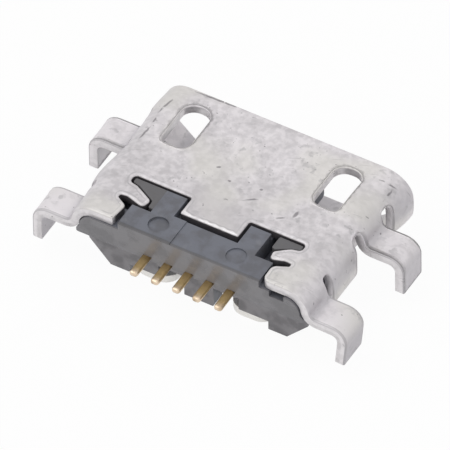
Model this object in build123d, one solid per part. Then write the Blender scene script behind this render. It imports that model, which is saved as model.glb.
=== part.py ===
from build123d import *
import os

# A small board-edge data and charging socket: one folded, tinned steel shell on four legs, a dark moulded
# insulator inside it, and five gilt contacts whose tails leave at the back.
# The shell is modelled with its mouth at Y = 0 and its underside at Z = 0, and every piece is moved to the
# part's own origin, the middle of its footprint on that underside, when it is written. The mouth faces -Y.

# Shell sheet and the mouth
SHEET = 0.28
OPENING_WIDTH = 6.90
OPENING_HEIGHT = 1.85
NARROW_WIDTH = 5.40
BEVEL_HEIGHT = 0.73
ROOF_BEND = 0.45
FLOOR_BEND = 0.25

# Shell depths, from the mouth
ROOF_DEPTH = 3.56
TAB_DEPTH = 4.21
WALL_DEPTH = 3.98
FLOOR_DEPTH = 4.30
FLOOR_TAB_DEPTH = 4.77
SHELL_DEPTH = 5.28

# Roof cut-outs
TAB_WIDTH = 1.80
SLOT_REACH = 2.66
SLOT_WIDTH = 0.28
FINGER_TIP = 1.82
FINGER_ROOT_REAR = 4.35
FINGER_TIP_REAR = 4.50
FINGER_TIP_LEAN = 0.02
FINGER_TIP_WIDTH = 0.30
REAR_SLOT_WIDTH = 0.14
CORNER_PIECE_EDGE = 2.28
WINDOW_MIDDLE = 2.345
WINDOW_WIDTH = 0.83
WINDOW_FRONT = 0.52
WINDOW_REAR = 2.12

# Legs
LEG_WIDTH = 1.00
FRONT_LEG = 1.77
REAR_LEG = SHELL_DEPTH - LEG_WIDTH / 2
LEG_REACH = 1.20
BOARD_DROP = 1.07
LEG_TIP = 0.38
LEG_SLOPE = 79.0
FOOT_BEND = 0.18
TOE_BEND = 0.20
FRONT_NOTCH = 0.41
MIDDLE_NOTCH = 0.39
NOTCH_TOP = 0.32
NOTCH_ROUND = 0.10

# Floor tabs and seam
FLOOR_TAB_MIDDLE = 1.50
FLOOR_TAB_WIDTH = 1.30
FLOOR_TAB_ROUND = 0.45
SEAM = 0.04
SEAM_KEY_REACH = 0.55
SEAM_KEY_FRONT = 1.40
SEAM_KEY_REAR = 2.70
SEAM_KEY_FLARE = 0.15

# Insulator
FIT = 0.02
BODY_FRONT = 3.10
BODY_REAR = 4.83
BODY_INSET = 0.04
BODY_BEVEL_TOP = 0.73
BODY_BEVEL_RUN = 0.66
BLOCK_REAR_LOW = 5.30
BLOCK_REAR_TOP = 5.36
EAR_REACH = 0.08
EAR_HEIGHT = 0.14
EAR_SLOPE = 0.12
LAND_GAP = 0.09
LAND_BEHIND_TAB = 0.18
TONGUE_WIDTH = 3.70
TONGUE_THICKNESS = 0.50
TONGUE_FRONT = 0.85
TONGUE_UNDERSIDE = 1.29
TONGUE_ROUND = 0.12
POCKET_BESIDE_FINGER = 0.20
POCKET_BEHIND_FINGER = 0.04
POCKET_OUTER = 2.90
POCKET_FRONT = 3.40
POCKET_DEPTH = 0.42
STEP_EDGE = 0.59
STEP_DEPTH = 0.03
EJECTOR_RADIUS = 0.295
EJECTOR_DEPTH = 0.04
EJECTOR_PLACES = ((1.20, 4.86), (-1.20, 4.82))
RIB_WIDTH = 0.90
DEEP_RECESS_REACH = 1.25
DEEP_RECESS_HEIGHT = 0.70
NICK_INNER = 2.50
NICK_OUTER = 2.95
NICK_DEPTH = 0.20
NICK_FRONT = 4.90

# Contacts
CONTACT_NAMES = (
    "contact_power",
    "contact_data_minus",
    "contact_data_plus",
    "contact_sense",
    "contact_ground",
)
CONTACT_PITCH = 0.65
CONTACT_WIDTH = 0.26
CONTACT_THICKNESS = 0.15
CONTACT_STAND_OUT = 0.03
CONTACT_FRONT = 0.98
CONTACT_RISE_START = 3.30
CONTACT_RISE_END = 3.65
CONTACT_BEND = 0.15
CONTACT_END_ROUND = 0.06
CONTACT_TIP_ROUND = 0.09
TAIL_END = 6.02

HEIGHT = OPENING_HEIGHT + 2 * SHEET
BOARD_PLANE = HEIGHT - BOARD_DROP
ROOF_UNDERSIDE = HEIGHT - SHEET
BLOCK_UNDERSIDE = BOARD_PLANE + FIT
LEG_SPAN = OPENING_WIDTH + 2 * SHEET + 2 * LEG_REACH
OVERRUN = 0.5

ORIGIN_SHIFT = Pos(0, -TAIL_END / 2, 0)


def slab(x_range, y_range, z_range):
    """A block between two values of each coordinate."""
    size = [high - low for low, high in (x_range, y_range, z_range)]
    middle = [(high + low) / 2 for low, high in (x_range, y_range, z_range)]
    return Pos(*middle) * Box(*size)


def both_sides(solid):
    """A solid and its mirror image across the socket's middle plane."""
    return solid + mirror(solid, about=Plane.YZ)


def plan_cutter(corners, radii, low, high):
    """A block whose outline, seen from above, has these corners, each rounded by its own radius."""
    outline = make_face(FilletPolyline(*corners, radius=radii, close=True))
    return extrude(Pos(0, 0, low) * outline, amount=high - low)


def run_back(face, start, end):
    """Carry an outline that is drawn in the mouth's plane from one depth to another."""
    return extrude(Pos(0, start, 0) * face, amount=start - end)


def side_run(face, half_width):
    """Carry an outline that is drawn in the middle plane to both sides of it."""
    return extrude(face, amount=half_width, both=True)


def mouth_face(inset=0.0):
    """The outline inside the sheet: a wide flat roof, upright sides, and bevels down to a narrow floor."""
    half = OPENING_WIDTH / 2
    floor = NARROW_WIDTH / 2
    right = [(half, ROOF_UNDERSIDE), (half, SHEET + BEVEL_HEIGHT), (floor, SHEET)]
    left = [(-x, z) for x, z in reversed(right)]
    bends = [ROOF_BEND, FLOOR_BEND, FLOOR_BEND]
    face = Plane.XZ * make_face(FilletPolyline(*right, *left, radius=bends + bends[::-1], close=True))
    if inset:
        face = offset(face, amount=-inset)
    return face


def roof_opening():
    """The gap behind the roof. It leaves a middle tab and, each side, a slanted finger and a corner piece."""
    slot_rear = ROOF_DEPTH + SLOT_WIDTH
    rear_slot_back = FINGER_ROOT_REAR + REAR_SLOT_WIDTH
    corners = [
        (0, TAB_DEPTH),
        (TAB_WIDTH / 2, TAB_DEPTH),
        (TAB_WIDTH / 2, ROOF_DEPTH),
        (SLOT_REACH, ROOF_DEPTH),
        (SLOT_REACH, slot_rear),
        (SLOT_REACH - 0.26, slot_rear + 0.05),
        (FINGER_TIP, FINGER_TIP_REAR - FINGER_TIP_WIDTH),
        (FINGER_TIP + 0.08, FINGER_TIP_REAR + FINGER_TIP_LEAN),
        (SLOT_REACH - 0.20, FINGER_ROOT_REAR),
        (SLOT_REACH, FINGER_ROOT_REAR + 0.03),
        (SLOT_REACH, rear_slot_back),
        (CORNER_PIECE_EDGE, rear_slot_back + 0.20),
        (CORNER_PIECE_EDGE, SHELL_DEPTH + OVERRUN),
        (0, SHELL_DEPTH + OVERRUN),
    ]
    radii = [0, 0.05, 0.08, 0.12, 0.12, 0.30, 0.12, 0.13, 0.30, 0.05, 0.05, 0.15, 0, 0]
    return both_sides(plan_cutter(corners, radii, ROOF_UNDERSIDE - 0.1, HEIGHT + OVERRUN))


def latch_windows():
    """Two openings near the mouth, round in front and squarer behind, that the plug's hooks drop into."""
    inner = WINDOW_MIDDLE - WINDOW_WIDTH / 2
    outer = WINDOW_MIDDLE + WINDOW_WIDTH / 2
    corners = [(inner, WINDOW_FRONT), (outer, WINDOW_FRONT), (outer, WINDOW_REAR), (inner, WINDOW_REAR)]
    front_round = 0.45 * WINDOW_WIDTH
    radii = [front_round, front_round, 0.14, 0.30]
    return both_sides(plan_cutter(corners, radii, ROOF_UNDERSIDE - 0.1, HEIGHT + OVERRUN))


def side_bay(front, rear):
    """The side wall and bevel that a leg is cut from: an opening from under the roof's bend to the floor."""
    top = HEIGHT - NOTCH_TOP
    corners = [(front, -OVERRUN), (front, top), (rear, top), (rear, -OVERRUN)]
    radii = [0, NOTCH_ROUND, NOTCH_ROUND, 0]
    outline = Plane.YZ * make_face(FilletPolyline(*corners, radius=radii, close=True))
    inner = NARROW_WIDTH / 2
    return both_sides(extrude(Pos(inner, 0, 0) * outline, amount=LEG_SPAN / 2 - inner))


def leg(middle):
    """A strip that follows the roof's bend, turns out flat on the board, and turns down into its hole."""
    roof_edge = OPENING_WIDTH / 2 - ROOF_BEND
    foot_top = BOARD_PLANE + SHEET
    knee = roof_edge + (ROOF_BEND + SHEET) * tan_of(LEG_SLOPE / 2)
    foot = knee + (HEIGHT - foot_top) / tan_of(LEG_SLOPE)
    toe = LEG_SPAN / 2
    lean = SHEET * tan_of(LEG_SLOPE / 2)
    corners = [
        (roof_edge - SHEET, HEIGHT),
        (knee, HEIGHT),
        (foot, foot_top),
        (toe, foot_top),
        (toe, LEG_TIP),
        (toe - SHEET, LEG_TIP),
        (toe - SHEET, BOARD_PLANE),
        (foot - lean, BOARD_PLANE),
        (knee - lean, ROOF_UNDERSIDE),
        (roof_edge - SHEET, ROOF_UNDERSIDE),
    ]
    over = [0, ROOF_BEND + SHEET, FOOT_BEND, TOE_BEND + SHEET, 0]
    under = [0, TOE_BEND, FOOT_BEND + SHEET, ROOF_BEND, 0]
    strip = make_face(FilletPolyline(*corners, radius=over + under, close=True))
    return both_sides(run_back(Plane.XZ * strip, middle - LEG_WIDTH / 2, middle + LEG_WIDTH / 2))


def tan_of(degrees):
    """Tangent of an angle, from a unit vector turned by it."""
    turned = Vector(1, 0, 0).rotate(Axis.Z, degrees)
    return turned.Y / turned.X


def floor_end():
    """What is cut off behind the floor, round its two rounded tabs."""
    half = NARROW_WIDTH / 2 + SHEET
    band = slab((-half, half), (FLOOR_DEPTH, SHELL_DEPTH + OVERRUN), (-OVERRUN, SHEET + BEVEL_HEIGHT))
    inner = FLOOR_TAB_MIDDLE - FLOOR_TAB_WIDTH / 2
    outer = FLOOR_TAB_MIDDLE + FLOOR_TAB_WIDTH / 2
    front = FLOOR_DEPTH - 0.5
    corners = [(inner, front), (outer, front), (outer, FLOOR_TAB_DEPTH), (inner, FLOOR_TAB_DEPTH)]
    tab = plan_cutter(corners, [0, 0, FLOOR_TAB_ROUND, FLOOR_TAB_ROUND], -OVERRUN, SHEET)
    return band - both_sides(tab)


def floor_seam():
    """The joint where the folded sheet's two edges meet, with one dovetail key."""
    path = Polyline(
        (0, -OVERRUN),
        (0, SEAM_KEY_FRONT),
        (SEAM_KEY_REACH, SEAM_KEY_FRONT - SEAM_KEY_FLARE),
        (SEAM_KEY_REACH, SEAM_KEY_REAR + SEAM_KEY_FLARE),
        (0, SEAM_KEY_REAR),
        (0, FLOOR_DEPTH + OVERRUN),
    )
    return extrude(Pos(0, 0, -OVERRUN) * trace(path, SEAM), amount=OVERRUN + SHEET + 0.1)


def make_shell():
    """One sheet folded into a tube, with its legs, tabs, fingers and openings."""
    mouth = mouth_face()
    tube = run_back(offset(mouth, amount=SHEET), 0, SHELL_DEPTH)
    tube = tube - run_back(mouth, -OVERRUN, SHELL_DEPTH + OVERRUN)
    front_bay = FRONT_LEG - LEG_WIDTH / 2 - FRONT_NOTCH
    middle_wall = FRONT_LEG + LEG_WIDTH / 2 + MIDDLE_NOTCH
    shell = tube - side_bay(front_bay, middle_wall) - side_bay(WALL_DEPTH, SHELL_DEPTH + OVERRUN)
    shell = shell - roof_opening() - latch_windows() - floor_end() - floor_seam()
    return shell + leg(FRONT_LEG) + leg(REAR_LEG)


def body_face():
    """The outline of what hangs below the board, behind the side walls."""
    half = OPENING_WIDTH / 2 - BODY_INSET
    top = BLOCK_UNDERSIDE + EAR_HEIGHT
    right = [(half, top), (half, BODY_BEVEL_TOP), (half - BODY_BEVEL_RUN, 0)]
    left = [(-x, z) for x, z in reversed(right)]
    return Plane.XZ * make_face(Polyline(*right, *left, close=True))


def block_face():
    """The outline of the block above the board: it fills the roof's bends, with a low ear each side."""
    half = OPENING_WIDTH / 2 - FIT
    ear = OPENING_WIDTH / 2 + EAR_REACH
    ear_top = BLOCK_UNDERSIDE + EAR_HEIGHT
    right = [
        (half, ROOF_UNDERSIDE - FIT),
        (half, ear_top + EAR_SLOPE),
        (ear, ear_top),
        (ear, BLOCK_UNDERSIDE),
    ]
    left = [(-x, z) for x, z in reversed(right)]
    rounds = [ROOF_BEND, 0, 0, 0.05]
    return Plane.XZ * make_face(FilletPolyline(*right, *left, radius=rounds + rounds[::-1], close=True))


def lands():
    """The raised top of the block: it fills the gap behind the roof, level with the sheet."""
    levels = (ROOF_UNDERSIDE - SHEET, HEIGHT - FIT)
    reach = CORNER_PIECE_EDGE - LAND_GAP
    behind_tab = slab((-reach, reach), (TAB_DEPTH + LAND_BEHIND_TAB, TAIL_END), levels)
    beside_tab = slab((TAB_WIDTH / 2 + LAND_GAP, reach), (ROOF_DEPTH + LAND_GAP, TAIL_END), levels)
    return behind_tab + both_sides(beside_tab)


def block_slope():
    """What lies behind the block: its back leans forward a little on its way down."""
    lean = (BLOCK_REAR_TOP - BLOCK_REAR_LOW) / (HEIGHT - BOARD_PLANE)
    low = BLOCK_REAR_LOW - lean * OVERRUN
    high = BLOCK_REAR_TOP + lean * OVERRUN
    far = TAIL_END + OVERRUN
    corners = [(low, BOARD_PLANE - OVERRUN), (high, HEIGHT + OVERRUN), (far, HEIGHT + OVERRUN)]
    corners.append((far, BOARD_PLANE - OVERRUN))
    return side_run(Plane.YZ * make_face(Polyline(*corners, close=True)), LEG_SPAN / 2)


def tongue():
    """The thin shelf in the mouth that carries the contacts on its underside."""
    shelf = slab(
        (-TONGUE_WIDTH / 2, TONGUE_WIDTH / 2),
        (TONGUE_FRONT, BODY_FRONT + OVERRUN),
        (TONGUE_UNDERSIDE, TONGUE_UNDERSIDE + TONGUE_THICKNESS),
    )
    tip = shelf.edges().filter_by(Axis.X).group_by(Axis.Y)[0]
    return fillet(tip, TONGUE_ROUND)


def top_recesses():
    """Pockets for the fingers, a shallow step, a nick under one corner piece and two ejector marks."""
    land = HEIGHT - FIT - STEP_DEPTH
    pocket_side = FINGER_TIP - POCKET_BESIDE_FINGER
    pocket_rear = FINGER_TIP_REAR + FINGER_TIP_LEAN + POCKET_BEHIND_FINGER
    pocket_floor = ROOF_UNDERSIDE - POCKET_DEPTH
    nick_floor = ROOF_UNDERSIDE - NICK_DEPTH
    pocket = slab((pocket_side, POCKET_OUTER), (POCKET_FRONT, pocket_rear), (pocket_floor, HEIGHT))
    step = slab((-LEG_SPAN / 2, STEP_EDGE), (ROOF_DEPTH, TAIL_END), (land, HEIGHT))
    nick = slab((-NICK_OUTER, -NICK_INNER), (NICK_FRONT, TAIL_END), (nick_floor, HEIGHT))
    marks = [
        Pos(x, y, land - EJECTOR_DEPTH) * extrude(Circle(EJECTOR_RADIUS), amount=SHEET)
        for x, y in EJECTOR_PLACES
    ]
    return both_sides(pocket) + step + nick + marks


def back_recesses():
    """Where the floor's end and its tabs lie, and the deeper hollows beside the middle rib."""
    floor_half = NARROW_WIDTH / 2 + FIT
    floor_room = slab((-floor_half, floor_half), (0, FLOOR_DEPTH + FIT), (-OVERRUN, SHEET + 2 * FIT))
    rib = RIB_WIDTH / 2
    tab_side = FLOOR_TAB_MIDDLE + FLOOR_TAB_WIDTH / 2 + FIT
    tab_room = slab((rib, tab_side), (FLOOR_DEPTH, TAIL_END), (-OVERRUN, SHEET + FIT))
    hollow = slab((rib, DEEP_RECESS_REACH), (FLOOR_DEPTH, TAIL_END), (-OVERRUN, DEEP_RECESS_HEIGHT))
    return floor_room + both_sides(tab_room) + both_sides(hollow)


def make_insulator(contacts):
    """The moulding: a plug of plastic in the tube, a tongue in front of it, and a back that hangs over."""
    core = run_back(mouth_face(FIT), BODY_FRONT, WALL_DEPTH + OVERRUN)
    lower = run_back(body_face(), WALL_DEPTH + FIT, BODY_REAR)
    block = run_back(block_face(), WALL_DEPTH + FIT, TAIL_END)
    back = block + lands() - block_slope() + lower
    body = core + back + tongue() - top_recesses() - back_recesses()
    for contact in contacts:
        body = body - contact
    return body


def make_contact(place):
    """A flat strip: along the tongue's underside, up a small step inside the plastic, and out to its tail."""
    tongue_level = TONGUE_UNDERSIDE - CONTACT_STAND_OUT
    lower = [
        (CONTACT_FRONT, tongue_level),
        (CONTACT_RISE_START, tongue_level),
        (CONTACT_RISE_END, BLOCK_UNDERSIDE),
        (BLOCK_REAR_LOW, BLOCK_UNDERSIDE),
        (TAIL_END, BOARD_PLANE),
    ]
    upper = [(depth, level + CONTACT_THICKNESS) for depth, level in reversed(lower)]
    end = CONTACT_END_ROUND
    rounds = [end, CONTACT_BEND, CONTACT_BEND, CONTACT_BEND, end]
    strip = make_face(FilletPolyline(*lower, *upper, radius=rounds + rounds[::-1], close=True))
    half = CONTACT_WIDTH / 2
    plan = [(-half, CONTACT_FRONT), (half, CONTACT_FRONT), (half, TAIL_END), (-half, TAIL_END)]
    tip = CONTACT_TIP_ROUND
    outline = plan_cutter(plan, [0, 0, tip, tip], 0, HEIGHT)
    return Pos(place, 0, 0) * (side_run(Plane.YZ * strip, half) & outline)


os.makedirs("parts", exist_ok=True)

contact_places = [(number - 2) * CONTACT_PITCH for number in range(len(CONTACT_NAMES))]
contacts = [make_contact(place) for place in contact_places]
pieces = {"shell": make_shell(), "insulator": make_insulator(contacts)}
pieces.update(zip(CONTACT_NAMES, contacts))

for name, piece in pieces.items():
    export_step(ORIGIN_SHIFT * piece, f"parts/{name}.step")
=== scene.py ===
import math

import bpy
import numpy as np
from mathutils import Matrix, Vector
from mathutils.geometry import delaunay_2d_cdt


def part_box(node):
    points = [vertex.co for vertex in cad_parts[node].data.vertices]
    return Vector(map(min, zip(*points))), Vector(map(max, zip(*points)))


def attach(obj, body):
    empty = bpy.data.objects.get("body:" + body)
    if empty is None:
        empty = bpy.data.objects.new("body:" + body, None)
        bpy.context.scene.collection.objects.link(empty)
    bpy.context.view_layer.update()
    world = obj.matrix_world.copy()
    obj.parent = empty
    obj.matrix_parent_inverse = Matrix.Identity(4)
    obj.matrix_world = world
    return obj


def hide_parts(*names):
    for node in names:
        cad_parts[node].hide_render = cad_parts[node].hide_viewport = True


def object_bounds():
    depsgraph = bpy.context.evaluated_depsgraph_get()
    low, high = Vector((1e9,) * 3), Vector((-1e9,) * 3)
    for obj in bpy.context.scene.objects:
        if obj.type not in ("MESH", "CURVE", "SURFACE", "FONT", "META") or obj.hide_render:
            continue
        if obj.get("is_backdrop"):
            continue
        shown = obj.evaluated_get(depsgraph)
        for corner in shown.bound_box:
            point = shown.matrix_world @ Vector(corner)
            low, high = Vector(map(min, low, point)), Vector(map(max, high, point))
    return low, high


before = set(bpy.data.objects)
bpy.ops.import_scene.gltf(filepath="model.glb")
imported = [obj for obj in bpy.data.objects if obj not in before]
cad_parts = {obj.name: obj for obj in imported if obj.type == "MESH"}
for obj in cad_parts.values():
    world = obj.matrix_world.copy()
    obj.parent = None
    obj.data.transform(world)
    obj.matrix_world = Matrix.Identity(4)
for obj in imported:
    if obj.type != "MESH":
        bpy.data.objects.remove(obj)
cad_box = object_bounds()


# Camera: a long lens, 46 degrees above the table, behind the socket and a little to its -X side. The
# picture is 450 pixels wide, and AIM is the point of the socket that lies at AIM_PIXEL in it.
VIEW_TURN = math.radians(30.69)
VIEW_HEIGHT = math.radians(46.51)
VIEW_ROLL = math.radians(-1.02)
VIEW_DISTANCE = 0.5
PICTURE_PIXELS = 450
METRES_PER_PIXEL = 0.001 / 36.95
AIM = Vector((0.0, -0.00041, 0.00121))
AIM_PIXEL = (239.3, 217.3)
SENSOR_WIDTH = 36.0
NEAREST_SEEN = 0.01
FARTHEST_SEEN = 10.0

back = Vector((
    -math.sin(VIEW_TURN) * math.cos(VIEW_HEIGHT),
    math.cos(VIEW_TURN) * math.cos(VIEW_HEIGHT),
    math.sin(VIEW_HEIGHT),
))
level_right = Vector((-math.cos(VIEW_TURN), -math.sin(VIEW_TURN), 0.0))
level_up = back.cross(level_right)
right = level_right * math.cos(VIEW_ROLL) + level_up * math.sin(VIEW_ROLL)
up = level_up * math.cos(VIEW_ROLL) - level_right * math.sin(VIEW_ROLL)
aim_right = (AIM_PIXEL[0] - PICTURE_PIXELS / 2) * METRES_PER_PIXEL
aim_up = (PICTURE_PIXELS / 2 - AIM_PIXEL[1]) * METRES_PER_PIXEL
place = AIM - right * aim_right - up * aim_up + back * VIEW_DISTANCE

lens = bpy.data.cameras.new("camera")
lens.sensor_width = SENSOR_WIDTH
lens.lens = SENSOR_WIDTH * VIEW_DISTANCE / (PICTURE_PIXELS * METRES_PER_PIXEL)
lens.clip_start = NEAREST_SEEN
lens.clip_end = FARTHEST_SEEN
camera = bpy.data.objects.new("camera", lens)
turned = Matrix((right, up, back)).transposed()
camera.matrix_world = Matrix.Translation(place) @ turned.to_4x4()
bpy.context.scene.collection.objects.link(camera)
bpy.context.scene.camera = camera
bpy.context.scene.view_settings.view_transform = "Standard"


# Shell: one sheet of tinned steel, stamped flat and folded to a tube whose edges meet in a dovetailed seam
# in the floor. Four legs leave the roof's bends and turn out and down, and two slanted fingers grip the
# insulator. Sizes are in millimetres, and depths run back from the mouth.
MILLIMETRE = 0.001
SHEET = 0.28
SHELL_HEIGHT = 2.41
SHELL_DEPTH = 5.28
ROOF_HALF = 3.45
ROOF_BEND = 0.45
FLOOR_HALF = 2.70
FLOOR_BEND = 0.25
BEVEL_HEIGHT = 0.73
FLOOR_DEPTH = 4.30
FLOOR_TAB = (0.85, 2.15, 4.77)
FLOOR_TAB_ROUND = 0.45
ROOF_TAB = (0.90, 4.21, 0.05)
ROOF_DEPTH = 3.56
SEAM_HALF = 0.02
SEAM_KEY = (0.55, 1.40, 2.70, 0.15)
LEG_SLOPE = math.radians(79.0)
LEG_DEPTHS = (1.77, 4.78)
LEG_HALF = 0.50
LEG_SPAN_HALF = 4.93
LEG_TIP = 0.38
LEG_ROUND = 0.06
LEG_PARTS_BELOW_NOTCH = 0.05
LEG_STOPS_BEFORE_FLOOR = 0.40
FOOT_BEND = 0.18
TOE_BEND = 0.20
BOARD_DROP = 1.07
BAY_FRONT = (0.86, 2.66)
BAY_REAR = 3.98
BAY_TOP = 3.515
BAY_ROUND = 0.10
FRONT_NOTCH_DROP = 0.12
ROLLED_EDGE = 0.045
BURR_EDGE = 0.015
OUTLINE_STEP = 0.07
FIELD_STEP = (0.09, 0.12)
FIELD_GAP = 0.075
FIELD_MARGIN = 1.0
SAME_POINT = 1e-6
EDGE_SHARES = 20
ROUND_STEPS = 3
ARC_POINTS = 8
SMALL_STEP = 0.001
ON_LEG_MARGIN = 0.0001

# Where handling has bent the sheet: a place on the blank, how far the bend reaches along it and back, and how
# far it shifts the sheet. A leg's row is its side, its depth and the shift of its tip.
KNOCKS = [
    ((-2.0, 4.3), (0.25, 0.25), (0.0, 0.0, -0.05)),
    ((-4.2, 0.1), (0.90, 0.55), (-0.24, 0.0, 0.0)),
    ((4.2, 0.7), (0.80, 0.35), (0.08, 0.0, 0.0)),
    ((4.3, 3.6), (0.80, 0.45), (0.15, 0.0, 0.0)),
    ((3.0, 5.3), (0.50, 0.25), (0.0, 0.0, -0.02)),
]
LEG_KNOCKS = [
    (-1.0, 4.78, (0.12, 0.07, 0.0)),
]


def folded(length, runs):
    """Where a strip lies once it is bent: sideways place and height at each length along it. The strip is a
    chain of runs, each with a length and a turn, and its heading grows evenly along a run. A straight run
    adds its length along the heading; a bend of radius R adds R times the change of the heading's sine
    sideways, and R times the change of its cosine to the height."""
    aside = np.zeros_like(length)
    height = np.zeros_like(length)
    begun = 0.0
    angle = 0.0
    for run, turn in runs:
        part = np.clip(length - begun, 0.0, run)
        if turn:
            radius = run / turn
            aside += radius * (np.sin(angle + part / radius) - math.sin(angle))
            height += radius * (np.cos(angle + part / radius) - math.cos(angle))
        else:
            aside += part * math.cos(angle)
            height -= part * math.sin(angle)
        begun += run
        angle += turn
    return aside, height


def bend_run(inner_radius, turn):
    """A bend's length on the sheet's middle surface, and its turn."""
    return (inner_radius + SHEET / 2) * abs(turn), turn


bevel_steep = math.atan2(BEVEL_HEIGHT, ROOF_HALF - FLOOR_HALF)
bevel_turn = math.pi / 2 - bevel_steep
side_tangent = FLOOR_BEND * math.tan(bevel_turn / 2)
floor_tangent = FLOOR_BEND * math.tan(bevel_steep / 2)
wall_height = SHELL_HEIGHT - 2 * SHEET - ROOF_BEND - BEVEL_HEIGHT
bevel_length = math.hypot(BEVEL_HEIGHT, ROOF_HALF - FLOOR_HALF)
roof_run = (ROOF_HALF - ROOF_BEND, 0.0)
tube_runs = [
    roof_run,
    bend_run(ROOF_BEND, math.pi / 2),
    (wall_height - side_tangent, 0.0),
    bend_run(FLOOR_BEND, bevel_turn),
    (bevel_length - side_tangent - floor_tangent, 0.0),
    bend_run(FLOOR_BEND, bevel_steep),
    (FLOOR_HALF - floor_tangent, 0.0),
]
seam_place = sum(run for run, turn in tube_runs)
tube_runs.append((SEAM_KEY[0], 0.0))

slope_half = math.tan(LEG_SLOPE / 2)
knee = ROOF_HALF - ROOF_BEND + (ROOF_BEND + SHEET) * slope_half
foot_fall = BOARD_DROP - SHEET
foot = knee + foot_fall / math.tan(LEG_SLOPE)
slope_tangents = (ROOF_BEND + SHEET + FOOT_BEND) * slope_half
leg_runs = [
    roof_run,
    bend_run(ROOF_BEND, LEG_SLOPE),
    (foot_fall / math.sin(LEG_SLOPE) - slope_tangents, 0.0),
    bend_run(FOOT_BEND, -LEG_SLOPE),
    (LEG_SPAN_HALF - SHEET - TOE_BEND - foot - FOOT_BEND * slope_half, 0.0),
    bend_run(TOE_BEND, math.pi / 2),
    (SHELL_HEIGHT - foot_fall - SHEET - TOE_BEND - LEG_TIP, 0.0),
]
leg_length = sum(run for run, turn in leg_runs)
floor_edge = seam_place - FLOOR_HALF
leg_part = BAY_TOP + LEG_PARTS_BELOW_NOTCH
leg_room = floor_edge - LEG_STOPS_BEFORE_FLOOR
leg_stretch = (leg_length - leg_part) / (leg_room - leg_part)


def rounded(corners, step):
    """A closed outline through these corners, each (along, depth, radius), with points at most a step apart:
    an arc of that radius, tangent to both sides, stands in for each corner."""
    place = np.array(corners)[:, :2]
    radius = np.array(corners)[:, 2]
    before = np.roll(place, 1, axis=0) - place
    after = np.roll(place, -1, axis=0) - place
    before /= np.linalg.norm(before, axis=1, keepdims=True)
    after /= np.linalg.norm(after, axis=1, keepdims=True)
    half = np.arccos(np.clip((before * after).sum(1), -1.0, 1.0)) / 2
    chain = []
    for at, one, two, size, opening in zip(place, before, after, radius, half):
        if size == 0:
            chain.append(at[None])
            continue
        bisector = (one + two) / np.linalg.norm(one + two)
        middle = at + bisector * size / math.sin(opening)
        first = at + one * size / math.tan(opening) - middle
        last = at + two * size / math.tan(opening) - middle
        share = np.linspace(0.0, 1.0, ARC_POINTS)[:, None]
        sweep = math.pi - 2 * opening
        arc = (np.sin((1 - share) * sweep) * first + np.sin(share * sweep) * last) / math.sin(sweep)
        chain.append(middle + arc)
    chain = np.concatenate(chain)
    following = np.roll(chain, -1, axis=0)
    filled = []
    for start, end in zip(chain, following):
        pieces = max(1, math.ceil(np.linalg.norm(end - start) / step))
        filled.append(start + (end - start) * np.arange(pieces)[:, None] / pieces)
    return np.concatenate(filled)


def inside(points, outlines):
    """True for the points that an odd number of outline sides lies beyond, looking along the strip."""
    odd = np.zeros(len(points), bool)
    for outline in outlines:
        for start, end in zip(outline, np.roll(outline, -1, axis=0)):
            level = (start[1] > points[:, 1]) != (end[1] > points[:, 1])
            if start[1] != end[1]:
                meet = start[0] + (end[0] - start[0]) * (points[:, 1] - start[1]) / (end[1] - start[1])
                odd ^= level & (points[:, 0] < meet)
    return odd


front_leg, rear_leg = LEG_DEPTHS
tab_inner, tab_outer, tab_end = FLOOR_TAB
key_reach, key_front, key_rear, key_flare = SEAM_KEY
tab_half, tab_depth, tab_round = ROOF_TAB
lower_half = [
    (seam_place - SEAM_HALF, FLOOR_DEPTH, 0.0),
    (seam_place - tab_inner, FLOOR_DEPTH, 0.0),
    (seam_place - tab_inner, tab_end, FLOOR_TAB_ROUND),
    (seam_place - tab_outer, tab_end, FLOOR_TAB_ROUND),
    (seam_place - tab_outer, FLOOR_DEPTH, 0.0),
    (floor_edge, FLOOR_DEPTH, 0.0),
    (floor_edge, BAY_REAR, 0.0),
    (BAY_TOP, BAY_REAR, BAY_ROUND),
    (BAY_TOP, rear_leg - LEG_HALF, BAY_ROUND),
    (leg_room, rear_leg - LEG_HALF, LEG_ROUND),
    (leg_room, rear_leg + LEG_HALF, LEG_ROUND),
]
corner_and_finger = {
    1: [
        (2.40, SHELL_DEPTH, 0.04),
        (2.32, 4.69, 0.15),
        (2.66, 4.49, 0.05),
        (2.66, 4.38, 0.05),
        (2.46, 4.35, 0.30),
        (1.90, 4.52, 0.13),
        (1.82, 4.20, 0.12),
    ],
    -1: [
        (2.25, SHELL_DEPTH, 0.22),
        (2.24, 4.69, 0.22),
        (2.66, 4.49, 0.05),
        (2.66, 4.38, 0.05),
        (2.46, 4.36, 0.30),
        (2.02, 4.48, 0.12),
        (1.97, 4.16, 0.12),
    ],
}
slot_and_tab = [
    (2.40, 3.89, 0.30),
    (2.66, 3.84, 0.12),
    (2.66, ROOF_DEPTH, 0.12),
    (tab_half, ROOF_DEPTH, 0.08),
    (tab_half, tab_depth, tab_round),
]
plain_edge = [(seam_place - SEAM_HALF, 0.0, 0.0)]
slot_edge = [
    (seam_place - SEAM_HALF, key_front - SEAM_HALF, 0.0),
    (seam_place - key_reach - SEAM_HALF, key_front - key_flare - SEAM_HALF, 0.0),
    (seam_place - key_reach - SEAM_HALF, key_rear + key_flare + SEAM_HALF, 0.0),
    (seam_place - SEAM_HALF, key_rear + SEAM_HALF, 0.0),
]
key_edge = [
    (seam_place - SEAM_HALF, key_front + SEAM_HALF, 0.0),
    (seam_place + key_reach - SEAM_HALF, key_front - key_flare + SEAM_HALF, 0.0),
    (seam_place + key_reach - SEAM_HALF, key_rear + key_flare - SEAM_HALF, 0.0),
    (seam_place - SEAM_HALF, key_rear - SEAM_HALF, 0.0),
]
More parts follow.
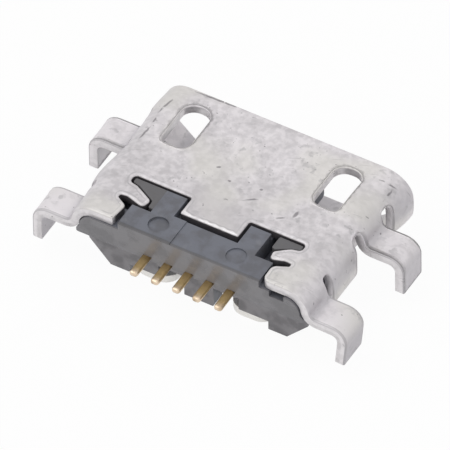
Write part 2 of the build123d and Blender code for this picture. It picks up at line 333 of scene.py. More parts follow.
right_side = plain_edge + slot_edge + lower_half + corner_and_finger[1] + slot_and_tab
left_side = plain_edge + key_edge + lower_half + corner_and_finger[-1] + slot_and_tab
left_side = [(-along, depth, radius) for along, depth, radius in reversed(left_side)]
window = [(1.93, 0.52, 0.3735), (2.76, 0.52, 0.3735), (2.76, 2.12, 0.14), (1.93, 2.12, 0.30)]
bay = [
    (floor_edge, BAY_FRONT[0], 0.0),
    (floor_edge, BAY_FRONT[1], 0.0),
    (BAY_TOP, BAY_FRONT[1], BAY_ROUND),
    (BAY_TOP, front_leg + LEG_HALF, BAY_ROUND),
    (leg_room, front_leg + LEG_HALF, LEG_ROUND),
    (leg_room, front_leg - LEG_HALF, LEG_ROUND),
    (BAY_TOP + FRONT_NOTCH_DROP, front_leg - LEG_HALF, BAY_ROUND),
    (BAY_TOP + FRONT_NOTCH_DROP, BAY_FRONT[0], BAY_ROUND),
]
openings = [window, bay]
openings += [[(-along, depth, radius) for along, depth, radius in reversed(hole)] for hole in openings]
outlines = [rounded(corners, OUTLINE_STEP) for corners in [right_side + left_side] + openings]


def nearest_edge(points, edge):
    """How far each point of the blank lies from its outlines' nearest point, a share of them at a time."""
    near = np.full(len(points), np.inf)
    for part in np.array_split(edge, EDGE_SHARES):
        apart = np.linalg.norm(points[:, None] - part[None], axis=2)
        near = np.minimum(near, apart.min(axis=1))
    return near


def flat_pattern(outlines):
    """The stamped blank as triangles: the outlines' points come first, then a staggered grid of points that
    lie inside them and clear of their sides. Triangles outside the metal are left out."""
    along = np.arange(-seam_place - FIELD_MARGIN, seam_place + FIELD_MARGIN, FIELD_STEP[0])
    depth = np.arange(FIELD_STEP[1] / 2, SHELL_DEPTH, FIELD_STEP[1])
    grid = np.stack(np.meshgrid(along, depth), axis=-1)
    grid[1::2, :, 0] += FIELD_STEP[0] / 2
    grid = grid.reshape(-1, 2)
    grid = grid[inside(grid, outlines)]
    edge = np.concatenate(outlines)
    points = np.concatenate([edge, grid[nearest_edge(grid, edge) > FIELD_GAP]])
    sides = []
    first = 0
    for outline in outlines:
        ring = np.arange(len(outline))
        sides += np.stack([first + ring, first + np.roll(ring, -1)], axis=1).tolist()
        first += len(outline)
    made = delaunay_2d_cdt([Vector(point) for point in points.tolist()], sides, [], 0, SAME_POINT)
    names = np.array([sources[0] for sources in made[3]])
    triangles = names[np.array(made[2])]
    middle = points[triangles].mean(axis=1)
    return points, triangles[inside(middle, outlines)]


def legs_at(along, depth):
    """True where a point of the blank lies on a leg, and its length along the leg once it is drawn out."""
    length = np.abs(along)
    on_leg = np.zeros(len(along), bool)
    for middle in LEG_DEPTHS:
        on_leg |= np.abs(depth - middle) < LEG_HALF + ON_LEG_MARGIN
    on_leg &= (length > leg_part) & (length < leg_room + ON_LEG_MARGIN)
    return on_leg, leg_part + (length - leg_part) * leg_stretch


def fold_sheet(along, depth, on_leg):
    """The folded sheet's middle surface. A point on a leg follows the leg's bends and any other follows the
    tube's, and the left half mirrors the right one. Each knock then shifts the points round one place of the
    blank, by a bell-shaped share of its distance, and a leg's knock grows from its root to its tip."""
    length = np.abs(along)
    side = np.where(along < 0, -1.0, 1.0)
    tube = folded(length, tube_runs)
    strip = folded(np.where(on_leg, leg_part + (length - leg_part) * leg_stretch, length), leg_runs)
    aside, height = (np.where(on_leg, a, b) for a, b in zip(strip, tube))
    points = np.stack([side * aside, depth, SHELL_HEIGHT - SHEET / 2 + height], axis=1)
    for at, reach, shift in KNOCKS:
        share = np.exp(-((along - at[0]) / reach[0]) ** 2 / 2 - ((depth - at[1]) / reach[1]) ** 2 / 2)
        points += share[:, None] * np.array([shift])
    for hand, middle, shift in LEG_KNOCKS:
        bent = on_leg & (side == hand) & (np.abs(depth - middle) < 2 * LEG_HALF)
        share = np.where(bent, (length - leg_part) / (leg_room - leg_part), 0.0)
        points += share[:, None] ** 2 * np.array([shift])
    widest = LEG_SPAN_HALF - SHEET / 2
    points[:, 0] = np.clip(points[:, 0], -widest, widest)
    return points


def sheet_frame(along, depth, on_leg):
    """The middle surface and three directions at each point: onward, in which the place along the blank
    grows, rearward, in which its depth grows, and their cross product, which leaves the outer face. The first
    two are the differences of the surface over a small step either way."""
    onward = fold_sheet(along + SMALL_STEP, depth, on_leg) - fold_sheet(along - SMALL_STEP, depth, on_leg)
    rearward = fold_sheet(along, depth + SMALL_STEP, on_leg) - fold_sheet(along, depth - SMALL_STEP, on_leg)
    onward /= np.linalg.norm(onward, axis=1, keepdims=True)
    rearward /= np.linalg.norm(rearward, axis=1, keepdims=True)
    return fold_sheet(along, depth, on_leg), np.cross(onward, rearward), onward, rearward


def outward(outlines):
    """At each outline point, the direction out of the metal in the flat blank: its two sides' average,
    turned a quarter. The first outline runs round the blank and the others round its openings."""
    ways = []
    for outline in outlines:
        ahead = np.roll(outline, -1, axis=0) - outline
        ahead /= np.linalg.norm(ahead, axis=1, keepdims=True)
        run = ahead + np.roll(ahead, 1, axis=0)
        run /= np.linalg.norm(run, axis=1, keepdims=True)
        way = np.stack([run[:, 1], -run[:, 0]], axis=1)
        probe = outline[:1] + way[:1] * SMALL_STEP
        ways.append(-way if inside(probe, outlines)[0] else way)
    return np.concatenate(ways)


blank, triangles = flat_pattern(outlines)
along, depth = blank.T
on_leg, leg_along = legs_at(along, depth)
points, across, onward, rearward = sheet_frame(along, depth, on_leg)
edge_count = sum(len(outline) for outline in outlines)
count = len(points)
way = outward(outlines)
out = way[:, :1] * onward[:edge_count] + way[:, 1:] * rearward[:edge_count]
half = SHEET / 2

# The cut edge runs from the outer face, where the punch rolled it over, to the burr on the inner face. Each
# row is the outline moved out of the metal and along the sheet's thickness.
quarter = np.linspace(0.0, math.pi / 2, ROUND_STEPS + 1)
rolled = [(ROLLED_EDGE * (math.sin(a) - 1), half - ROLLED_EDGE * (1 - math.cos(a))) for a in quarter]
burred = [(BURR_EDGE * (math.sin(a) - 1), BURR_EDGE * (1 - math.cos(a)) - half) for a in quarter[::-1]]
profile = rolled + burred
rows = [points[:edge_count] + out * beyond + across[:edge_count] * level for beyond, level in profile]
outer = points + across * half
inner = points - across * half
outer[:edge_count] = rows[0]
inner[:edge_count] = rows[-1]
vertices = np.concatenate([outer, inner] + rows[1:-1])
vertices[:, 1] = np.maximum(vertices[:, 1], 0.0)  # the mouth's edge stays in one plane

rings = [np.arange(edge_count)]
rings += [2 * count + row * edge_count + np.arange(edge_count) for row in range(len(rows) - 2)]
rings += [count + np.arange(edge_count)]
following = np.arange(edge_count) + 1
first = 0
for outline in outlines:
    following[first + len(outline) - 1] = first
    first += len(outline)
corner_a, corner_b, corner_c = blank[triangles].transpose(1, 0, 2)
one, two = corner_b - corner_a, corner_c - corner_a
turn_way = one[:, 0] * two[:, 1] - one[:, 1] * two[:, 0]
triangles = np.where(turn_way[:, None] > 0, triangles, triangles[:, ::-1])
faces = triangles.tolist() + (triangles[:, ::-1] + count).tolist()
for upper, lower in zip(rings[:-1], rings[1:]):
    faces += np.stack([upper, lower, lower[following], upper[following]], axis=1).tolist()

# Two values stay with each point for the finish: its place on the blank, and how far the nearest cut edge is.
to_edge = nearest_edge(blank, blank[:edge_count])
true_along = np.where(on_leg, np.sign(along) * leg_along, along)
flat_place = np.stack([true_along, depth, np.full(count, half)], axis=1)
under_place = flat_place * [1.0, 1.0, -1.0]
mid_edge = flat_place[:edge_count] * [1.0, 1.0, 0.0]
row_places = [mid_edge + [0.0, 0.0, level] for beyond, level in profile[1:-1]]
blank_place = np.concatenate([flat_place, under_place] + row_places)
edge_distance = np.concatenate([to_edge, to_edge, np.zeros(edge_count * (len(rows) - 2))])

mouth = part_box("shell")[0].y
mesh = bpy.data.meshes.new("folded_shell")
mesh.from_pydata((vertices * MILLIMETRE + np.array([0.0, mouth, 0.0])).tolist(), [], faces)
mesh.polygons.foreach_set("use_smooth", np.ones(len(mesh.polygons), bool))
mesh.attributes.new("blank", "FLOAT_VECTOR", "POINT").data.foreach_set("vector", blank_place.ravel())
mesh.attributes.new("to_edge", "FLOAT", "POINT").data.foreach_set("value", edge_distance)
mesh.update()
folded_shell = bpy.data.objects.new("folded_shell", mesh)
bpy.context.scene.collection.objects.link(folded_shell)
even = folded_shell.modifiers.new("even_shading", "WEIGHTED_NORMAL")
even.keep_sharp = False
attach(folded_shell, "root")
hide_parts("shell")


class Flow:
    """A socket in a material's nodes. An operator on flows and numbers adds a Math node and gives the flow
    that leaves it."""

    def __init__(self, tree, socket=None):
        self.tree = tree
        self.socket = socket

    def node(self, kind, settings=None, sockets=None, output=0):
        """Adds one node: its settings first, then a flow or a plain value for each of its sockets."""
        made = self.tree.nodes.new("ShaderNode" + kind)
        for name, value in (settings or {}).items():
            setattr(made, name, value)
        for name, value in (sockets or {}).items():
            if isinstance(value, Flow):
                self.tree.links.new(value.socket, made.inputs[name])
            else:
                made.inputs[name].default_value = value
        return Flow(self.tree, made.outputs[output])

    def math(self, operation, first, second=0.0):
        return self.node("Math", {"operation": operation}, {0: first, 1: second})

    def __add__(self, other):
        return self.math("ADD", self, other)

    def __radd__(self, other):
        return self.math("ADD", other, self)

    def __sub__(self, other):
        return self.math("SUBTRACT", self, other)

    def __rsub__(self, other):
        return self.math("SUBTRACT", other, self)

    def __mul__(self, other):
        return self.math("MULTIPLY", self, other)

    def __rmul__(self, other):
        return self.math("MULTIPLY", other, self)

    def most(self, other):
        """The larger of two flows."""
        return self.math("MAXIMUM", self, other)

    def unsigned(self):
        return self.math("ABSOLUTE", self)

    def part(self, axis):
        """The X, Y or Z of the place that this flow carries."""
        return self.node("SeparateXYZ", None, {0: self}, output=axis)

    def between(self, start, end):
        """0 up to start and 1 from end, with a smooth rise; end may be the lower of the two."""
        places = {"Value": self, "From Min": start, "From Max": end}
        return self.node("MapRange", {"interpolation_type": "SMOOTHSTEP"}, places)

    def tint(self, plain, full):
        """One colour where this flow is 0 or less and the other where it is 1 or more."""
        return self.node("Mix", {"data_type": "RGBA"}, {0: self, 6: plain, 7: full}, output=2)

    def noise(self, scale, detail=2.0):
        """Cloudy noise round 0.5 over the place that this flow carries."""
        return self.node("TexNoise", None, {"Vector": self, "Scale": scale, "Detail": detail})

    def seen_through(self, centre, angle, size):
        """The place that this flow carries, measured from a centre, along turned axes, in sizes."""
        turned = (0.0, 0.0, math.radians(angle))
        sockets = {"Vector": self, "Location": centre, "Rotation": turned, "Scale": size}
        return self.node("Mapping", {"vector_type": "TEXTURE"}, sockets)

    def length(self):
        return self.node("VectorMath", {"operation": "LENGTH"}, {0: self}, output="Value")

    def feed(self, shader, name):
        self.tree.links.new(self.socket, shader.inputs[name])


def new_finish(name, metallic):
    """A material with its shader, and a flow to start its nodes from."""
    material = bpy.data.materials.new(name)
    material.use_nodes = True
    shader = material.node_tree.nodes["Principled BSDF"]
    shader.inputs["Metallic"].default_value = metallic
    return material, shader, Flow(material.node_tree)


# Tin: satin and pale, blotched where it was plated, with dark specks and a few hair scratches. The edges
# rolled over by the punch carry a painted highlight, with a painted shade line just inside the roof's rear
# edges. Painted shade also darkens the walls and legs, the roof towards its rear and before the tab, the
# outer cut edges of the walls and legs and the cut faces round the rear slots, and painted light brightens
# the feet and the floor tabs. A worn mark is a place on the blank, with its angle, half length and half
# width, and SHAKE is how ragged the marks are.
BRIGHT_TIN = (0.80, 0.765, 0.785, 1.0)
DULL_TIN = (0.55, 0.525, 0.54, 1.0)
CREAM_TIN = (0.71, 0.69, 0.65, 1.0)
RIM_HIGHLIGHT_TIN = (0.92, 0.90, 0.91, 1.0)
CUT_TIN = (0.84, 0.81, 0.825, 1.0)
TORN_TIN = (0.55, 0.53, 0.54, 1.0)
SLOT_CUT_SHADE = (0.13, 0.12, 0.13, 1.0)
LIT_TAB_TIN = (0.95, 0.93, 0.90, 1.0)
SHADED_SIDE_TIN = (0.50, 0.48, 0.51, 1.0)
SMUDGE_AND_SHADE_GREY = (0.36, 0.35, 0.36, 1.0)
SCRATCH_GREY = (0.16, 0.15, 0.16, 1.0)
SHAKE = 0.06
MARK_DEPTH = 0.12
WORN_MARKS = [
    (3.20, 0.90, 78.0, 0.30, 0.035),
    (3.21, 2.04, 86.0, 0.27, 0.030),
    (3.22, 1.50, 88.0, 0.10, 0.030),
    (2.10, 0.03, 2.0, 0.80, 0.035),
    (0.93, 0.17, 10.0, 0.07, 0.035),
    (-0.55, 2.84, 30.0, 0.17, 0.030),
    (0.85, 2.23, 20.0, 0.06, 0.035),
    (0.33, 2.54, 0.0, 0.05, 0.04),
    (-0.59, 2.40, 0.0, 0.05, 0.04),
    (-1.86, 2.75, 85.0, 0.14, 0.06),
    (-1.56, 3.05, 30.0, 0.12, 0.03),
    (-3.28, 0.46, 15.0, 0.20, 0.025),
    (-3.45, 0.75, 95.0, 0.22, 0.025),
]
FLOOR_TABS_BELOW = (0.00034, 0.00030)
tin, tin_shader, flow = new_finish("tinned_sheet", 0.45)
blank_at = flow.node("Attribute", {"attribute_name": "blank"}, output="Vector")
edge_at = flow.node("Attribute", {"attribute_name": "to_edge"}, output="Fac")
along_at = blank_at.part("X").unsigned()
depth_at = blank_at.part("Y")
height_at = blank_at.part("Z")

clouds = blank_at.noise(0.8, 4.0).between(0.38, 0.62)
patches = blank_at.noise(2.3, 4.0).between(0.40, 0.62)
grains = blank_at.noise(6.0, 3.0).between(0.36, 0.66)
cream = blank_at.noise(0.45, 1.0).between(0.46, 0.62)
# Painted shade: the roof's tone is lifted a little overall and falls from the front towards the rear.
roof_shade_to_rear = 0.12 - 0.30 * depth_at.between(1.0, 3.8) * along_at.between(3.6, 2.8)
# Painted light: the feet are painted brighter, the rear feet most.
lit_feet = along_at.between(4.1, 4.5) * along_at.between(5.4, 5.1)
lit_rear_feet = lit_feet * depth_at.between(3.0, 4.2)
brightness = clouds * 0.30 + patches * 0.30 + grains * 0.45 + roof_shade_to_rear + 0.36 * lit_feet + 0.24 * lit_rear_feet
tin_colour = brightness.tint(DULL_TIN, BRIGHT_TIN)
tin_colour = (cream * 0.6).tint(tin_colour, CREAM_TIN)
# Painted shade: the walls and legs, apart from the feet, are painted darker, and the rear toes darker still.
sides = along_at.between(3.2, 3.9) * (1.0 - 0.9 * lit_feet)
shaded_toes = along_at.between(5.3, 5.6) * depth_at.between(3.0, 4.2)
tin_colour = (sides * (0.68 + 0.25 * shaded_toes)).tint(tin_colour, SHADED_SIDE_TIN)
smudges = blank_at.noise(3.6, 3.0).between(0.56, 0.68) * blank_at.noise(0.7, 1.0).between(0.44, 0.60)
tin_colour = (smudges * 0.45).tint(tin_colour, SMUDGE_AND_SHADE_GREY)
# Painted shade: the roof is painted duller in front of the tab.
tab_shade = depth_at.between(2.8, 3.5) * along_at.between(1.7, 0.9)
tin_colour = (tab_shade * 0.45).tint(tin_colour, DULL_TIN)
on_roof = along_at.between(3.0, 2.7)
back_edge = on_roof * depth_at.between(3.40, 3.50)
# Painted highlight: a pale band along the cut edges, strongest at the tab's rear edge and next along the
# roof's rear edge.
rim_noise = blank_at.noise(3.0, 2.0).between(0.30, 0.60)
tab_edge = on_roof * depth_at.between(3.95, 4.15) * along_at.between(1.2, 1.0)
rim_highlight = edge_at.between(0.075, 0.045) * (0.04 + 0.10 * back_edge + 0.60 * tab_edge) * rim_noise
tin_colour = rim_highlight.tint(tin_colour, RIM_HIGHLIGHT_TIN)
# Painted shade: a dark line just inside the roof's rear edges, and another along the outer cut edges of the
# walls and legs.
rim_shade_line = edge_at.between(0.07, 0.09) * edge_at.between(0.15, 0.11) * rim_noise * back_edge
side_edge_shade = edge_at.between(0.05, 0.03) * height_at.between(0.09, 0.12) * along_at.between(3.9, 4.2)
tin_colour = (rim_shade_line * 0.45).tint(tin_colour, SMUDGE_AND_SHADE_GREY)
tin_colour = (side_edge_shade * 0.55).tint(tin_colour, SMUDGE_AND_SHADE_GREY)
cut = edge_at.between(0.012, 0.0) * height_at.between(0.11, 0.09)
cut_colour = (grains * 0.35).tint(CUT_TIN, TORN_TIN)
tin_colour = cut.tint(tin_colour, cut_colour)
torn = cut * height_at.between(0.02, -0.04) * (0.2 + 0.5 * patches) * depth_at.between(2.0, 2.5)
tin_colour = torn.tint(tin_colour, TORN_TIN)
# Painted shadow: the cut faces round the slots behind the roof are painted near black.
shaded_slot_cut = cut * back_edge * depth_at.between(5.22, 5.10)
tin_colour = shaded_slot_cut.tint(tin_colour, SLOT_CUT_SHADE)
# Painted light: the floor tabs low at the back are painted near white.
low_down = flow.node("TexCoord", output="Object").part("Z").between(*FLOOR_TABS_BELOW)
lit_floor_tabs = low_down * depth_at.between(4.25, 4.35)
tin_colour = lit_floor_tabs.tint(tin_colour, LIT_TAB_TIN)

specks = blank_at.noise(9.0, 1.0).between(0.70, 0.80) * blank_at.noise(0.8, 1.0).between(0.42, 0.58)
hair = blank_at.seen_through((0.0, 0.0, 0.0), 25.0, (1.0, 0.06, 1.0)).noise(1.6, 1.0).between(0.72, 0.78)
shaken = blank_at.node("TexNoise", None, {"Vector": blank_at, "Scale": 7.0}, output="Color")
shift = {0: shaken, 1: (SHAKE, SHAKE, 0.0), 2: blank_at}
shaken = shaken.node("VectorMath", {"operation": "MULTIPLY_ADD"}, shift)
dashes = blank_at.noise(5.0, 2.0).between(0.34, 0.44)
marks = specks.most(hair * 0.4)
for x, y, angle, long_half, short_half in WORN_MARKS:
    middle = (x + SHAKE / 2, y + SHAKE / 2, half)
    near = shaken.seen_through(middle, angle, (long_half, short_half, MARK_DEPTH)).length()
    marks = marks.most(near.between(1.3, 0.6) * dashes)
tin_colour = (marks * 0.65).tint(tin_colour, SCRATCH_GREY)
tin_colour.feed(tin_shader, "Base Color")
(0.36 + 0.12 * clouds + 0.25 * marks).feed(tin_shader, "Roughness")
relief = blank_at.noise(1.4, 3.0) * 1.2 + blank_at.noise(7.0, 3.0) * 0.15 - marks * 0.08
bump = flow.node("Bump", None, {"Height": relief, "Distance": 0.00003, "Strength": 0.7})
bump.feed(tin_shader, "Normal")
folded_shell.data.materials.append(tin)


# Insulator: one dark moulding, pressed into the tube from behind. Its back is a block wider than the tube's
# room, with the five contacts in it, and a thin tongue stands in the mouth. Its matt top lies level with the
# sheet, and an island of it fills most of the room that each finger leaves in its slot.
MOULD_TOP_SKY_GREY = (0.164, 0.172, 0.204, 1.0)
MOULD_BACK_LIT_GREY = (0.214, 0.208, 0.220, 1.0)
MOULD_LOW_LIT_GREY = (0.270, 0.260, 0.275, 1.0)
MOULD_PATCH = (0.095, 0.092, 0.098, 1.0)
MOULD_SCUFF = (0.32, 0.32, 0.33, 1.0)
MOULD_EDGE_SHADE = (0.05, 0.05, 0.055, 1.0)
MOULD_SLOT_SHADE = (0.120, 0.114, 0.114, 1.0)
EDGE_ROUND = 0.000022
EDGE_TURN = math.radians(30.0)
FLAT_TURN = math.radians(1.0)
TOUCHING = 1e-7

# How far each side of the tongue is drawn in, and the middle and half size of the box round that side.
TONGUE_TRIM = 0.20
TONGUE_SIDE = (1.67, 1.95, 1.54)
TONGUE_SIDE_HALF = (0.20, 1.16, 0.27)
ISLAND_FOOT = 1.97
ISLAND_ROUND = 0.03
ISLANDS = {
    1: [(1.58, 3.62), (2.61, 3.62), (2.61, 3.79), (2.38, 3.85), (1.80, 4.16), (1.78, 4.42), (1.58, 4.42)],
    -1: [(1.86, 3.61), (2.62, 3.61), (2.62, 3.79), (2.38, 3.85), (1.98, 4.08), (1.86, 4.06)],
}
ISLAND_TOPS = {1: 2.37, -1: 2.35}
ISLAND_CORNER = 0.05


def cleaned(piece, edge_round):
    """Merges a moulding's loose triangles, joins those that lie in one plane, and rounds its edges."""
    merge = piece.modifiers.new("merge", "WELD")
    merge.merge_threshold = TOUCHING
    flat = piece.modifiers.new("flat_faces", "DECIMATE")
    flat.decimate_type = "DISSOLVE"
    flat.angle_limit = FLAT_TURN
    soft = piece.modifiers.new("soft_edges", "BEVEL")
    soft.width = edge_round
    soft.segments = 2
    soft.limit_method = "ANGLE"
    soft.angle_limit = EDGE_TURN
    soft.harden_normals = True


def standing(outline, top):
    """A block on an outline: the outline carried straight up to its rounded top edge, and then in over a
    quarter circle, with a flat cap at either end."""
    way = outward([outline])
    quarter = np.linspace(0.0, math.pi / 2, ROUND_STEPS + 1)
    levels = [(0.0, ISLAND_FOOT)]
    levels += [(ISLAND_ROUND * (1 - math.cos(a)), top - ISLAND_ROUND * (1 - math.sin(a))) for a in quarter]
    rows = [np.column_stack([outline - way * inset, np.full(len(outline), level)]) for inset, level in levels]
    around = np.arange(len(outline))
    faces = [around[::-1].tolist(), (around + len(outline) * (len(rows) - 1)).tolist()]
    for row in range(len(rows) - 1):
        lower = around + row * len(outline)
        upper = lower + len(outline)
        faces += np.stack([lower, np.roll(lower, -1), np.roll(upper, -1), upper], axis=1).tolist()
    return np.concatenate(rows), faces


def narrowed(cad_mesh):
    """The moulding's points and faces, with each point in the tongue's side boxes moved in by the trim."""
    points = np.empty(len(cad_mesh.vertices) * 3)
    cad_mesh.vertices.foreach_get("co", points)
    points = points.reshape(-1, 3)
    from_mouth = (points - [0.0, mouth, 0.0]) / MILLIMETRE
    on_side = (np.abs(np.abs(from_mouth) - TONGUE_SIDE) < TONGUE_SIDE_HALF).all(axis=1)
    points[:, 0] -= np.where(on_side, np.sign(points[:, 0]) * TONGUE_TRIM * MILLIMETRE, 0.0)
    return points, [list(face.vertices) for face in cad_mesh.polygons]


cad_points, cad_faces = narrowed(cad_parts["insulator"].data)
mesh = bpy.data.meshes.new("moulding")
mesh.from_pydata(cad_points.tolist(), [], cad_faces)
insulator = bpy.data.objects.new("moulding", mesh)
bpy.context.scene.collection.objects.link(insulator)
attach(insulator, "root")
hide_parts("insulator")
cleaned(insulator, EDGE_ROUND)
island_points = []
island_faces = []
for hand, corners in ISLANDS.items():
    outline = rounded([(hand * x, y, ISLAND_CORNER) for x, y in corners[::hand]], OUTLINE_STEP)
    block_points, block_faces = standing(outline, ISLAND_TOPS[hand])
    first = sum(len(points) for points in island_points)
    island_points.append(block_points)
    island_faces += [[first + corner for corner in face] for face in block_faces]
mesh = bpy.data.meshes.new("slot_islands")
island_points = np.concatenate(island_points) * MILLIMETRE + np.array([0.0, mouth, 0.0])
mesh.from_pydata(island_points.tolist(), [], island_faces)
islands = bpy.data.objects.new("slot_islands", mesh)
bpy.context.scene.collection.objects.link(islands)
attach(islands, "root")


def in_millimetres(flow):
    """The place on a piece, in millimetres from the origin."""
    place = flow.node("TexCoord", output="Object")
    return place.node("VectorMath", {"operation": "SCALE"}, {0: place, "Scale": 1 / MILLIMETRE})


moulding, mould_shader, flow = new_finish("dark_moulding", 0.0)
place_at = in_millimetres(flow)
aside_at = place_at.part("X")
back_at = place_at.part("Y")
level_at = place_at.part("Z")
back_face = back_at.between(2.26, 2.30)
# Painted light: the lower back, set in under the block's overhang, is painted lighter against its shade.
lit_low_face = back_at.between(1.74, 1.80) * level_at.between(1.40, 1.32)
# The moulding's own dark grey, painted darker and bluer on top as a painted sky reflection, and lighter on
# the back as painted light.
mould_colour = back_face.tint(MOULD_TOP_SKY_GREY, MOULD_BACK_LIT_GREY)
mould_colour = lit_low_face.tint(mould_colour, MOULD_LOW_LIT_GREY)
patches = place_at.noise(2.4, 5.0).between(0.42, 0.64)
mould_colour = (patches * (0.50 - 0.14 * back_face)).tint(mould_colour, MOULD_PATCH)
scuffs = place_at.noise(3.0, 5.0).between(0.58, 0.74)
mould_colour = (scuffs * 0.20).tint(mould_colour, MOULD_SCUFF)
# Painted shade: a dark line along the edge between the top and the back.
top_edge_shade = back_at.between(2.24, 2.27) * level_at.between(2.33, 2.37)
mould_colour = (top_edge_shade * 0.55).tint(mould_colour, MOULD_EDGE_SHADE)
# Painted shade: the moulding's faces down in the finger slots are painted darker.
slot_shade = aside_at.between(1.57, 1.59).most(aside_at.between(-1.84, -1.86))
slot_shade = slot_shade * level_at.between(2.386, 2.376) * level_at.between(1.95, 2.00)
slot_shade = slot_shade * back_at.between(1.50, 1.45)
mould_colour = (slot_shade * 0.80).tint(mould_colour, MOULD_SLOT_SHADE)
mould_colour.feed(mould_shader, "Base Color")
(0.42 - 0.20 * back_face + 0.10 * patches).feed(mould_shader, "Roughness")
relief = place_at.noise(5.0, 3.0) + 0.3 * place_at.noise(22.0, 1.0)
bump = flow.node("Bump", None, {"Height": relief, "Distance": 0.000012, "Strength": 0.5})
bump.feed(mould_shader, "Normal")
for piece in (insulator, islands):
    piece.data.materials.clear()
    piece.data.materials.append(moulding)


# Contacts: five strips of gilt copper alloy, moulded into the insulator, 0.65 mm apart. Each runs along the
# tongue's underside and steps up to its tail, which is drawn narrower, rounded, and paler at the tip.
CONTACT_PITCH = 0.65
CONTACT_HALF = (0.13, 0.075)
CONTACT_WAY = [(0.98, 1.335), (3.30, 1.335), (3.65, 1.435), (5.30, 1.435), (6.02, 1.415)]
CONTACT_BEND = 0.20
BEND_POINTS = 7
TIP_POINTS = 9
CONTACT_STEP = 0.06
CONTACT_AROUND = 24
TAIL_START = 5.10
TAIL_SHOULDER = 0.15
TAIL_NARROW = 0.93
TAIL_LEAN = 0.03
TIP_ROUND = 0.09
TIP_SHARE = (0.55, 0.60)

# Each contact's place in the row, and how far its tail's tip is bent aside and up.
TAIL_KNOCKS = {
    "contact_power": (-2, -0.01, 0.00),
    "contact_data_minus": (-1, 0.02, -0.01),
    "contact_data_plus": (0, 0.00, 0.01),
    "contact_sense": (1, 0.01, 0.00),
    "contact_ground": (2, 0.02, -0.01),
}
GILT = (0.74, 0.54, 0.26, 1.0)
PALE_GILT = (0.78, 0.64, 0.50, 1.0)
TARNISH_AND_SHADE = (0.30, 0.20, 0.09, 1.0)


def strip_way():
    """Depths and levels along a contact, and the length left to its tip: straight runs between the bends,
    each bend a parabola whose ends lie half a bend's length from the corner on either side."""
    corners = np.array(CONTACT_WAY)
    chain = [corners[:1]]
    for before, corner, after in zip(corners[:-2], corners[1:-1], corners[2:]):
        first = corner + (before - corner) / np.linalg.norm(before - corner) * CONTACT_BEND / 2
        last = corner + (after - corner) / np.linalg.norm(after - corner) * CONTACT_BEND / 2
        share = np.linspace(0.0, 1.0, BEND_POINTS)[:, None]
        chain.append((1 - share) ** 2 * first + 2 * share * (1 - share) * corner + share ** 2 * last)
    chain = np.concatenate(chain + [corners[-1:]])
    run = np.concatenate([[0.0], np.cumsum(np.linalg.norm(np.diff(chain, axis=0), axis=1))])
    even = np.arange(0.0, run[-1] - TIP_ROUND, CONTACT_STEP)
    sweep = np.linspace(0.0, math.pi / 2, TIP_POINTS)
    even = np.concatenate([even, run[-1] - TIP_ROUND * (1 - np.sin(sweep))])
    return np.interp(even, run, chain[:, 0]), np.interp(even, run, chain[:, 1]), run[-1] - even


def strip_surface(middle, aside, rise):
    """A contact's surface: a rounded oblong, whose corners are those of a curve of the fourth power, carried
    along the strip. It narrows at the tail and closes over the last part of the tip, and the tail leans by a
    share of its length."""
    depth, level, left = strip_way()
    turn = np.linspace(0.0, 2 * math.pi, CONTACT_AROUND, endpoint=False)
    cosine, sine = np.cos(turn), np.sin(turn)
    stretch = (cosine ** 4 + sine ** 4) ** -0.25
    tail = np.clip((depth - TAIL_START) / (CONTACT_WAY[-1][0] - TAIL_START), 0.0, 1.0)
    shoulder = np.clip((depth - TAIL_START) / TAIL_SHOULDER, 0.0, 1.0)
    close = np.sqrt(np.clip(1 - (1 - np.clip(left / TIP_ROUND, 0.0, 1.0)) ** 2, 0.0, 1.0))
    narrow = 1 - (1 - TAIL_NARROW) * shoulder
    shut = np.where(left < TOUCHING, 0.0, 1.0)
    across = CONTACT_HALF[0] * narrow * (TIP_SHARE[0] + (1 - TIP_SHARE[0]) * close) * shut
    thick = CONTACT_HALF[1] * (TIP_SHARE[1] + (1 - TIP_SHARE[1]) * close) * shut
    centre = middle + TAIL_LEAN * shoulder + aside * tail
    x = centre[:, None] + across[:, None] * (stretch * cosine)[None]
    z = level[:, None] + (rise * tail)[:, None] + thick[:, None] * (stretch * sine)[None]
    y = np.broadcast_to(depth[:, None], x.shape)
    rows = len(depth)
    corner = np.arange(rows * CONTACT_AROUND).reshape(rows, CONTACT_AROUND)
    ahead = np.roll(corner, -1, axis=1)
    faces = np.stack([corner[:-1], ahead[:-1], ahead[1:], corner[1:]], axis=-1).reshape(-1, 4)
    return np.stack([x, y, z], axis=-1).reshape(-1, 3), faces.tolist() + [corner[0, ::-1].tolist()]


gilding, gilt_shader, flow = new_finish("gilt_contacts", 0.85)
place_at = in_millimetres(flow)
tail_at = place_at.part("Y")
gilt_colour = (tail_at.between(2.72, 2.98) * 0.9).tint(GILT, PALE_GILT)
stain = place_at.noise(4.0, 3.0).between(0.45, 0.70)
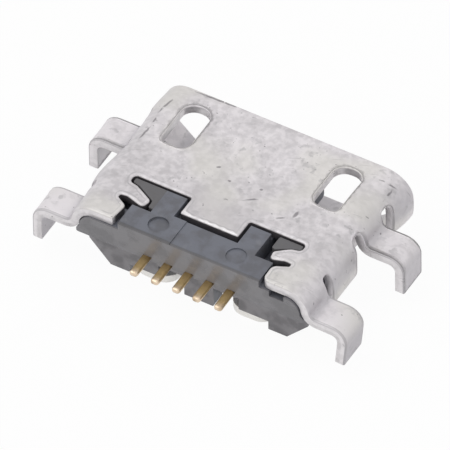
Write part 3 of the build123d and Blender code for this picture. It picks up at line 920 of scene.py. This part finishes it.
# Painted shade: the tails darken to brown where they leave the moulding; elsewhere the brown is a random
# stain.
exit_shade = tail_at.between(2.58, 2.36)
gilt_colour = (0.5 * stain + 0.4 * exit_shade).tint(gilt_colour, TARNISH_AND_SHADE)
gilt_colour.feed(gilt_shader, "Base Color")
(0.28 + 0.2 * stain).feed(gilt_shader, "Roughness")
bump = flow.node("Bump", None, {"Height": place_at.noise(8.0, 2.0), "Distance": 0.00001, "Strength": 0.5})
bump.feed(gilt_shader, "Normal")
for name, (number, aside, rise) in TAIL_KNOCKS.items():
    strip_points, strip_faces = strip_surface(number * CONTACT_PITCH, aside, rise)
    mesh = bpy.data.meshes.new(name + "_strip")
    mesh.from_pydata((strip_points * MILLIMETRE + np.array([0.0, mouth, 0.0])).tolist(), [], strip_faces)
    mesh.polygons.foreach_set("use_smooth", np.ones(len(mesh.polygons), bool))
    mesh.materials.append(gilding)
    strip = bpy.data.objects.new(name + "_strip", mesh)
    bpy.context.scene.collection.objects.link(strip)
    join = strip.modifiers.new("closed_tip", "WELD")
    join.merge_threshold = TOUCHING
    even = strip.modifiers.new("even_shading", "WEIGHTED_NORMAL")
    even.keep_sharp = False
    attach(strip, "root")
    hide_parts(name)


# Table and light: a white table under the socket, a pale room, and two soft lamps. The table and the room are
# white to the camera and in reflections, and the table keeps part of its own shade so that a shadow stays.
TABLE_SIZE = 1.0
TABLE_COLOUR = (0.95, 0.95, 0.95, 1.0)
WHITE = (1.0, 1.0, 1.0, 1.0)
SHADOW_SHARE = 0.05
ROOM_LEVEL = 0.65

# Each lamp's direction from the socket, its distance, its side and its power.
LAMPS = {
    "key": ((0.45, 0.10, 0.90), 0.16, 0.12, 0.050),
    "fill": ((-0.15, 0.80, 0.55), 0.16, 0.10, 0.016),
}


def background_ray(flow):
    """1 for a ray from the camera or out of a reflection or clear material, and 0 for light on a surface."""
    seen = flow.node("LightPath", output="Is Camera Ray")
    seen = seen.most(flow.node("LightPath", output="Is Glossy Ray"))
    return seen.most(flow.node("LightPath", output="Is Transmission Ray"))


reach = TABLE_SIZE / 2
table_mesh = bpy.data.meshes.new("table")
corners = [(-reach, -reach, 0.0), (reach, -reach, 0.0), (reach, reach, 0.0), (-reach, reach, 0.0)]
table_mesh.from_pydata(corners, [], [(0, 1, 2, 3)])
table = bpy.data.objects.new("table", table_mesh)
bpy.context.scene.collection.objects.link(table)
table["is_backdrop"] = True
table_finish, table_shader, flow = new_finish("table", 0.0)
table_shader.inputs["Base Color"].default_value = TABLE_COLOUR
table_shader.inputs["Roughness"].default_value = 1.0
table_shader.inputs["Specular IOR Level"].default_value = 0.0
glow = flow.node("Emission", None, {"Color": WHITE, "Strength": 1.0})
part = background_ray(flow) * (1.0 - SHADOW_SHARE)
shown = flow.node("MixShader", None, {0: part, 2: glow})
table_finish.node_tree.links.new(table_shader.outputs[0], shown.socket.node.inputs[1])
table_output = table_finish.node_tree.nodes["Material Output"]
table_finish.node_tree.links.new(shown.socket, table_output.inputs["Surface"])
table.data.materials.append(table_finish)

room = bpy.data.worlds.new("room")
room.use_nodes = True
bpy.context.scene.world = room
flow = Flow(room.node_tree)
(background_ray(flow) * (1.0 - ROOM_LEVEL) + ROOM_LEVEL).feed(room.node_tree.nodes["Background"], "Strength")
room.node_tree.nodes["Background"].inputs["Color"].default_value = WHITE

for name, (direction, distance, size, power) in LAMPS.items():
    lamp_data = bpy.data.lights.new(name, "AREA")
    lamp_data.size = size
    lamp_data.energy = power
    lamp = bpy.data.objects.new(name, lamp_data)
    aim = Vector(direction).normalized()
    lamp.location = aim * distance
    lamp.rotation_euler = aim.to_track_quat("Z", "Y").to_euler()
    lamp.visible_camera = False
    bpy.context.scene.collection.objects.link(lamp)

size = {"cad": [list(corner) for corner in cad_box]}
size["visual"] = [list(corner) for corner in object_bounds()]
